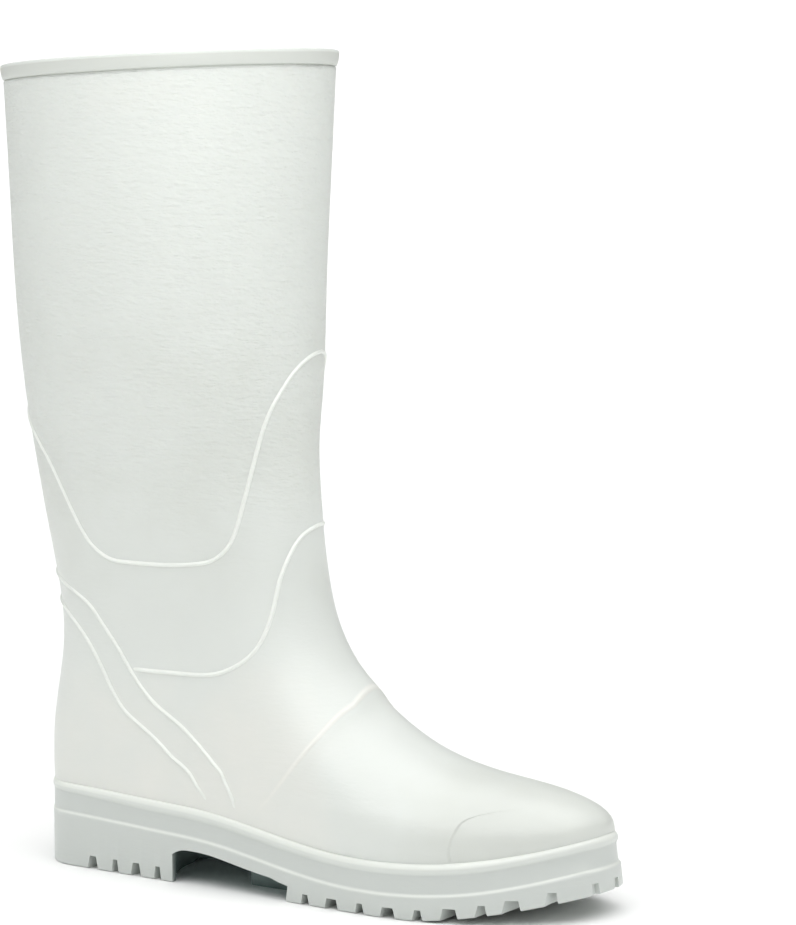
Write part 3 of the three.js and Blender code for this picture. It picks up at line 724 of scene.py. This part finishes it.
class BOOT_OT_upper(bpy.types.Operator):
    """Upper: the hollow moulding of foot and leg with its collar band, and the lining inside"""

    bl_idname = "boot.upper"
    bl_label = "Upper"

    def execute(self, context):
        last = Last(context.scene.boot_sizes)
        finish = context.scene.boot_finish
        turn = 2 * np.arange(LEG_AROUND) / LEG_AROUND
        loops = [*self.outside(last, turn), *self.collar(last, turn), *self.inside(last, turn)]
        deselect()
        bpy.ops.mesh.primitive_torus_add(
            major_segments=LEG_AROUND, minor_segments=len(loops), major_radius=0.06, minor_radius=0.02)
        made = named("upper_moulding")
        place(made, last.part(np.stack(loops, 1)).reshape(-1, 3))
        seat(made)
        face_out(made)
        smooth_by(made, 40)
        dress(made, upper_finish(finish.pvc), knit_finish(finish.lining))
        self.lining(made, last)
        spots = last.spots(vertices(made))
        mark(made, "before_bend", last.before_bend(spots))
        mark(made, "before_cap", last.before_cap(spots))
        mark(made, "under_rim", last.under_rim(spots)[0])
        spots[:, 2] += last.rim_slope(spots)
        place(made, last.part(spots))
        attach(made, "root")
        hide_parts("upper")
        return {"FINISHED"}

    @staticmethod
    def outside(last, turn):
        for i in range(SKIN_ROWS + 1):
            row = np.full(len(turn), SKIN_END * (i / SKIN_ROWS) ** SKIN_SPREAD)
            p = last.skin(row, turn)
            yield p + last.normal(last.skin, row, turn) * last.relief(p, turn)[:, None]

    @staticmethod
    def collar(last, turn):
        """The groove, the band over it, and the rim rounded outside and inside."""
        c, s, lip, edge = last.collar, last.step, last.lip, BAND_EDGE
        n = last.normal(lambda r, t: last.ring(c * (1.5 - 1.25 * r), t), 0.5, turn, flat=True)
        profile = [
            (c + 1.7, 0), (c + 1.1, -0.2), (c + 0.6, -0.5), (c + 0.1, -0.6), (c - 0.1, -0.1),
            (c - 0.4, 0.3 * s), (c - 1.1, 0.52 * s), (c - 2.2, 0.76 * s), (c - 3.6, 0.94 * s),
            (c * 0.28, s),
        ]
        angles = np.linspace(0, 1, ROUND_STEPS) * (math.pi / 2)
        profile += [(edge * (1 - math.sin(a)), s - edge * (1 - math.cos(a))) for a in angles]
        profile += [(lip * (1 - math.cos(a)), lip - last.wall - lip * math.sin(a)) for a in angles]
        for below, proud in profile:
            yield last.ring(max(below, CLOSE), turn) + n * proud

    @staticmethod
    def inside(last, turn):
        for i in range(LINING_ROWS, -1, -1):
            row = np.full(len(turn), i / LINING_ROWS)
            yield last.skin(row, turn) - last.normal(last.skin, row, turn, flat=i == 0) * last.wall

    @staticmethod
    def lining(made, last):
        """Gives the inside, from a little below the rim, the lining."""
        x, y, z = last.spots(places(made.data.polygons, "center")).T
        outer, inner, shift = last.half(x, np.minimum(z, last.height - 0.5))
        y = y - shift
        side = np.where(y < 0, outer + y, inner - y)
        front, back = last.at_height(last.front, z)[0] - x, x - last.back_x(z)
        depth = np.minimum.reduce([side, front, back])
        inside = (depth > last.wall * 0.6) & (z < last.height - LINING_LOW)
        made.data.polygons.foreach_set("material_index", inside.astype(np.int32))
        made.data.update()


class BOOT_OT_lines(bpy.types.Operator):
    """Raised lines: the two round the leg and the two of the heel strap"""

    bl_idname = "boot.lines"
    bl_label = "Raised lines"

    def execute(self, context):
        last = Last(context.scene.boot_sizes)
        # The lines get the upper's colour made lighter: a painted highlight along the raised lines.
        coat = line_finish(shade(context.scene.boot_finish.pvc, 1.17))
        for name, line in LINES.items():
            self.line(name, line, last, coat)
        return {"FINISHED"}

    @staticmethod
    def path(line, last):
        """Whether the line closes, and turn and height of the points along it."""
        at = line.at
        index = np.arange(len(at))
        s = np.linspace(0, len(at) - 1, LINE_TRACED)
        turn = spline(index, [p[0] for p in at])(s)
        z = spline(index, [float(last.rise(p[1])) for p in at])(s)
        spots = last.level(z, turn)
        run = np.concatenate([[0], np.cumsum(np.linalg.norm(np.diff(spots, axis=0), axis=1))])
        even = np.linspace(0, run[-1], int(run[-1] / LINE_STEP) + 1)
        turn, z = np.interp(even, run, turn), np.interp(even, run, z)
        crown = at[-1][0]
        closed = at[0][0] == 0 and crown > 1
        other = crown + (crown - turn) * line.inner if crown > 1 else 2 - turn * line.inner
        far = slice(int(closed), -1)
        return closed, np.concatenate([turn, other[far][::-1]]), np.concatenate([z, z[far][::-1]])

    def line(self, name, line, last, coat):
        closed, turn, z = self.path(line, last)
        p = last.level(z, turn)
        n = last.normal(lambda r, t: last.level(r * last.height, t), z / last.height, turn)
        before, after = (p[-1:], p[:1]) if closed else (2 * p[:1] - p[1:2], 2 * p[-1:] - p[-2:-1])
        longer = np.concatenate([before, p, after])
        along = longer[2:] - longer[:-2]
        along /= np.linalg.norm(along, axis=1, keepdims=True)
        side = np.cross(n, along)
        side /= np.linalg.norm(side, axis=1, keepdims=True)
        lift = last.relief(p, turn)
        reach = np.arange(len(p)) * LINE_STEP
        ends = np.ones(len(p)) if closed else smooth(np.minimum(reach, reach[-1] - reach) / line.fade)
        wide = last.line_width / 2 * LINE.wide
        tall = last.line_height * LINE.tall * ends
        rows = []
        for u in np.linspace(-1, 1, LINE_ACROSS):
            up = tall * math.cos(u * math.pi / 2) ** LINE.round
            up = up - LINE.sink - LINE.tuck * abs(u) ** 6
            rows.append(p + side * (u * wide) + n * (lift + up)[:, None])
        grid = np.stack(rows, 1)
        if closed:
            grid = np.concatenate([grid, grid[:1]])
        deselect()
        bpy.ops.mesh.primitive_grid_add(
            x_subdivisions=LINE_ACROSS - 1, y_subdivisions=len(grid) - 1, size=0.1)
        made = named(name)
        place(made, last.part(grid).reshape(-1, 3))
        seat(made)
        face_out(made)
        self.turn_out(made, last.part(p), n)
        smooth_by(made, 60)
        dress(made, coat)
        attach(made, "root")

    @staticmethod
    def turn_out(made, spots, normals):
        """Flips the strip if it faces the leg."""
        face = made.data.polygons[len(made.data.polygons) // 2]
        near = np.argmin(np.linalg.norm(spots - np.array(face.center), axis=1))
        if np.dot(np.array(face.normal), normals[near]) < 0:
            made.data.flip_normals()


class BOOT_OT_sole(bpy.types.Operator):
    """Outsole: ledge, side band, heel with its hollow front, arch and lugs"""

    bl_idname = "boot.sole"
    bl_label = "Outsole"

    def execute(self, context):
        last = Last(context.scene.boot_sizes)
        finish = context.scene.boot_finish
        made = self.body(last)
        self.cut(made, [self.arch(last)], "DIFFERENCE")
        self.cut(made, [self.lug(last)], "UNION")
        self.cut(made, self.notches(last), "DIFFERENCE")
        apply(made, "BEVEL", width=0.0005, segments=2, limit_method="ANGLE", angle_limit=math.radians(38),
              use_clamp_overlap=True, miter_outer="MITER_ARC")
        face_out(made, gap=2e-5)
        drop_folded(made)
        smooth_by(made, 35)
        # The colour of the sole's painted highlight is the upper's colour made lighter.
        dress(made, sole_finish(finish.sole, shade(finish.pvc, 1.1)))
        self.mark_painted_light(made, last)
        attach(made, "root")
        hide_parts("outsole")
        return {"FINISHED"}

    @staticmethod
    def bead_height(last, x):
        """How tall the ledge is along the foot."""
        share = x / last.foot / LEDGE.over
        return LEDGE.heel + LEDGE.waist * smooth(share) - LEDGE.fore * smooth(share - 1.5)

    def mark_painted_light(self, made, last):
        """Marks painted light on each vertex: a painted highlight on the ledge, lightest at its top, and on
        the thin ridge of the side, and painted shade inside the cuts and underneath.
        """
        rim, out = self.rim(last)
        p = last.spots(vertices(made))
        x = np.clip(p[:, 0], 0, last.foot)
        down = (last.feather(x) - p[:, 2]) / self.bead_height(last, x)
        # Painted highlight on the ledge, fading from its top down.
        ledge = 1 - 0.6 * smooth((down - 0.32) / 0.26) - 0.4 * smooth((down - 0.9) / 0.2)
        below = last.feather(x) - p[:, 2] - last.band
        # Painted highlight along the thin ridge of the side.
        ridge = 0.85 * np.exp(-(((below + 0.25) / 0.6) ** 2))
        near = np.array([np.argmin(((rim[:, :2] - q) ** 2).sum(1)) for q in p[:, :2]])
        inward = -((p[:, :2] - rim[near, :2]) * out[near, :2]).sum(1)
        # Painted shade inside the cuts and under the sole.
        inside = smooth((inward - 0.2) / 1.4) * smooth((below + 1) / 2)
        mark(made, "painted_light", np.clip(0.3 + 0.7 * np.clip(ledge + ridge, 0, 1) - 0.3 * inside, 0, 1))

    @staticmethod
    def ground(last, x):
        """Height of the sole's underside over the ground."""
        start, over, power = SPRING
        return last.spring * np.clip((x / last.foot - start) / over, 0, 1) ** power

    @staticmethod
    def rim(last):
        """The edge of the upper, and the way out of it."""
        turn = 2 * np.arange(SOLE_AROUND) / SOLE_AROUND
        none = np.zeros(SOLE_AROUND)
        return last.skin(none, turn), last.normal(last.skin, none, turn, flat=True)

    def body(self, last):
        """The outline of the upper's edge, extruded down through the profile of the side."""
        around = SOLE_AROUND
        rim, out = self.rim(last)
        x = np.clip(rim[:, 0], 0, last.foot)
        top, low = last.feather(x), self.ground(last, x)
        tall = self.bead_height(last, x)
        heights = {"ledge": (top, tall), "step": (top - last.band, 1), "ground": (low, 1)}

        def loop(kind, move, lift):
            base, unit = heights[kind]
            p = rim.copy()
            p[:, 2] = base + lift * unit
            down = np.clip((top - p[:, 2]) / (top - low), 0, 1)
            move = np.full(around, move)
            if move[0] > 0:
                move = move * (1 - 0.75 * np.maximum(-out[:, 0], 0))
                move = move + last.toe_lean * np.maximum(out[:, 0], 0) * down
            p[:, :2] += out[:, :2] * move[:, None]
            return last.part(p)

        deselect()
        bpy.ops.mesh.primitive_circle_add(vertices=around, radius=0.1, fill_type="NOTHING")
        made = named("sole_moulding")
        place(made, loop(*SIDE[0]))
        seat(made)
        bpy.ops.object.mode_set(mode="EDIT")
        bm = bmesh.from_edit_mesh(made.data)
        number = bm.verts.layers.int.new("turn")
        bm.verts.ensure_lookup_table()
        for k, v in enumerate(bm.verts):
            v[number] = k
        for row in SIDE[1:]:
            bpy.ops.mesh.extrude_region_move()
            bm = bmesh.from_edit_mesh(made.data)
            number = bm.verts.layers.int["turn"]
            points = loop(*row)
            for v in bm.verts:
                if v.select:
                    v.co = points[v[number]]
            bmesh.update_edit_mesh(made.data)
        bpy.ops.object.mode_set(mode="OBJECT")
        count = len(made.data.vertices)
        bm = bmesh.new()
        bm.from_mesh(made.data)
        bm.verts.ensure_lookup_table()
        number = bm.verts.layers.int["turn"]
        for ends in (range(around), range(count - around, count)):
            ring = {bm.verts[k][number]: bm.verts[k] for k in ends}
            for j in range(around // 2):
                strip = [ring[j], ring[j + 1], ring[(around - j - 1) % around], ring[(around - j) % around]]
                bm.faces.new(list(dict.fromkeys(strip)))
        bm.to_mesh(made.data)
        bm.free()
        face_out(made)
        return made

    @staticmethod
    def block(last, name, cuts, shape):
        """A cube cut up in edit mode, its corners moved by a function of their shares."""
        deselect()
        bpy.ops.mesh.primitive_cube_add(size=1, location=(0.5, 0.5, 0.5))
        made = named(name)
        seat(made)
        bpy.ops.object.mode_set(mode="EDIT")
        for axis, count in enumerate(cuts):
            normal = [float(axis == k) for k in range(3)]
            for k in range(1, count):
                bpy.ops.mesh.select_all(action="SELECT")
                bpy.ops.mesh.bisect(plane_co=[n * k / count for n in normal], plane_no=normal)
        bpy.ops.object.mode_set(mode="OBJECT")
        place(made, last.part(np.array([shape(*c) for c in vertices(made)])))
        return made

    @staticmethod
    def cut(made, tools, how):
        for tool in tools:
            face_out(tool)
            apply(made, "BOOLEAN", operation=how, object=tool, solver="EXACT")
            bpy.data.objects.remove(tool)

    @staticmethod
    def arch_top(last):
        return spline([x * last.foot for x, z in ARCH_TOP], [z * last.heel for x, z in ARCH_TOP])

    def arch(self, last):
        top = self.arch_top(last)
        start, hollow, end = (share * last.foot for share in (ARCH.start, ARCH.hollow, ARCH.end))
        half = ARCH.half * last.ball

        def shape(u, v, w):
            y = (v - 0.5) * CUTTER_WIDE * last.ball
            rear = start - hollow * (1 - min(abs(y) / half, 1) ** 2)
            x = rear + (end - rear) * u + (ARCH.lean if u > 0.99 and w > 0.5 else 0)
            down = ARCH.rear_round * (1 - min(u * 8, 1)) ** 2 + ARCH.fore_round * max(u * 8 - 7, 0)
            return x, y, float(top(x)) - down if w > 0.5 else ARCH_LOW

        return self.block(last, "arch_cut", (24, 24, 1), shape)

    def lug(self, last):
        top = self.arch_top(last)

        def shape(u, v, w):
            x = (LUG.start + LUG.long * u) * last.foot
            y = (v - 0.5) * LUG.wide * last.ball
            return (x - LUG.lean * (1 - u), y, float(top(x)) + LUG.up) if w > 0.5 else (x, y, 0)

        return self.block(last, "middle_lug", (4, 1, 1), shape)

    def notches(self, last):
        """Cutters of the notches and of the toe's cuts."""
        for k, (place_at, foot, top) in enumerate(NOTCHES):
            x0 = place_at * last.foot
            deep = last.heel_tread if place_at < 0.4 else last.fore_tread
            low = float(self.ground(last, x0))

            def shape(u, v, w):
                lift = deep if w > 0.5 else CUTTER_LOW
                wide = (foot + (top - foot) * lift / deep) * last.foot
                y = (v - 0.5) * CUTTER_WIDE * last.ball
                return x0 + (u - 0.5) * wide, y, low + lift

            yield self.block(last, f"notch_{k}", (1, 1, 1), shape)
        yield from self.toe_cuts(last)

    def toe_cuts(self, last):
        rim = self.rim(last)[0]
        front = rim[rim[:, 0] > 0.8 * last.foot]
        for k, across in enumerate(TOE_CUTS):
            x0 = front[np.argmin(np.abs(front[:, 1] - across)), 0] + TOE_CUT.start
            low = float(self.ground(last, x0))

            def shape(u, v, w):
                lift = last.fore_tread if w > 0.5 else CUTTER_LOW
                y = across + (v - 0.5) * (TOE_CUT.wide - TOE_CUT.taper * lift)
                return x0 + TOE_CUT.long * u, y, low + lift

            yield self.block(last, f"toe_cut_{k}", (1, 1, 1), shape)


class BOOT_OT_insole(bpy.types.Operator):
    """Insole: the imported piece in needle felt"""

    bl_idname = "boot.insole"
    bl_label = "Insole"

    def execute(self, context):
        felt = felt_finish(context.scene.boot_finish.felt)
        for place_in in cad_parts["insole"].material_slots:
            place_in.material = felt
        return {"FINISHED"}


# Wide suns: name, tilt from straight above, turn, angle (degrees), power
SUNS = [
    ("top_soft", 0, 0, 100, 2.95), ("front_soft", 40, 34, 70, 0.3), ("left_soft", 60, -50, 70, 0.3),
    ("right_soft", 60, 115, 70, 0.32),
]
# Round lamps near the leg: name, place, aim, size, power
LAMPS = [
    ("leg_soft", (0.493, -0.211, 0.7), (0.04, 0, 0.37), 0.35, 0.33),
    ("leg_near", (0.219, -0.265, 0.42), (0.04, 0, 0.36), 0.2, 0.2),
]
# Strength of the white world: as light, and as the camera sees it
WORLD_LIGHT, WORLD_SEEN = 0.03, 1.1
# Camera: place, tilt down and turn (degrees); focal length and the picture's height (pixels), sensor (mm)
CAMERA = Values(at=(0.8723, -1.0532, 0.2867), down=4.32, turn=34, focal=2900, tall=925, sensor=36)


class BOOT_OT_stage(bpy.types.Operator):
    """Stage: white floor, soft lights and the camera"""

    bl_idname = "boot.stage"
    bl_label = "Stage"

    def execute(self, context):
        deselect()
        bpy.ops.mesh.primitive_circle_add(vertices=96, radius=9, fill_type="NGON", location=(0, 0, 0))
        floor = named("floor")
        paper = Finish("white_paper", Base_Color=(0.98, 0.985, 0.98, 1), Roughness=0.9)
        floor.data.materials.append(paper.mat)
        for row in SUNS:
            self.sun(*row)
        for row in LAMPS:
            self.lamp(*row)
        context.scene.world = self.world()
        bpy.ops.object.camera_add(
            location=CAMERA.at,
            rotation=(math.radians(90 - CAMERA.down), 0, math.radians(CAMERA.turn)))
        camera = bpy.context.object
        camera.name = "camera_front_quarter"
        camera.data.sensor_width = CAMERA.sensor
        camera.data.lens = CAMERA.focal / CAMERA.tall * CAMERA.sensor
        camera.data.clip_start, camera.data.clip_end = 0.05, 60
        context.scene.camera = camera
        context.scene.view_settings.view_transform = "Standard"
        return {"FINISHED"}

    @staticmethod
    def world():
        """White to the camera, and a faint light to the rest."""
        world = bpy.data.worlds.new("studio_white")
        world.use_nodes = True
        tree = world.node_tree
        soft, seen = tree.nodes["Background"], tree.nodes.new("ShaderNodeBackground")
        for background, strength in ((soft, WORLD_LIGHT), (seen, WORLD_SEEN)):
            background.inputs["Color"].default_value = (1, 1, 1, 1)
            background.inputs["Strength"].default_value = strength
        ray = tree.nodes.new("ShaderNodeLightPath")
        both = tree.nodes.new("ShaderNodeMixShader")
        tree.links.new(ray.outputs["Is Camera Ray"], both.inputs[0])
        tree.links.new(soft.outputs[0], both.inputs[1])
        tree.links.new(seen.outputs[0], both.inputs[2])
        tree.links.new(both.outputs[0], tree.nodes["World Output"].inputs["Surface"])
        return world

    @staticmethod
    def sun(name, tilt, turn, angle, power):
        """A wide sun, tilted from straight above and turned toward where it comes from."""
        bpy.ops.object.light_add(type="SUN", location=(0, 0, 2))
        lamp = named(name)
        lamp.data.angle = math.radians(angle)
        lamp.data.energy = power
        lamp.rotation_euler = (math.radians(tilt), 0, math.radians(turn))

    @staticmethod
    def lamp(name, at, to, size, power):
        """A round lamp at a place, aimed at another."""
        bpy.ops.object.light_add(type="AREA", location=at)
        lamp = named(name)
        lamp.data.shape = "DISK"
        lamp.data.size = size
        lamp.data.energy = power
        aim = np.array(to) - np.array(at)
        flat = math.hypot(aim[0], aim[1])
        lamp.rotation_euler = (math.atan2(flat, -aim[2]), 0, math.atan2(-aim[0], aim[1]))


class BOOT_PT_panel(bpy.types.Panel):
    """Knee boot"""

    bl_idname = "BOOT_PT_panel"
    bl_label = "Knee Boot"
    bl_space_type = "VIEW_3D"
    bl_region_type = "UI"
    bl_category = "Knee Boot"

    def draw(self, context):
        for group in (context.scene.boot_sizes, context.scene.boot_finish):
            box = self.layout.box()
            for name in group.__annotations__:
                box.prop(group, name)
        for operator in STEPS:
            self.layout.operator(operator.bl_idname)


STEPS = (BOOT_OT_upper, BOOT_OT_lines, BOOT_OT_sole, BOOT_OT_insole, BOOT_OT_stage)
CLASSES = (BootSizes, BootFinish, *STEPS, BOOT_PT_panel)


def register():
    for cls in CLASSES:
        bpy.utils.register_class(cls)
    bpy.types.Scene.boot_sizes = bpy.props.PointerProperty(type=BootSizes)
    bpy.types.Scene.boot_finish = bpy.props.PointerProperty(type=BootFinish)


def unregister():
    del bpy.types.Scene.boot_sizes
    del bpy.types.Scene.boot_finish
    for cls in reversed(CLASSES):
        bpy.utils.unregister_class(cls)


def main():
    register()
    bpy.ops.boot.upper()
    bpy.ops.boot.lines()
    bpy.ops.boot.sole()
    bpy.ops.boot.insole()
    bpy.ops.boot.stage()


if __name__ == "__main__":
    main()
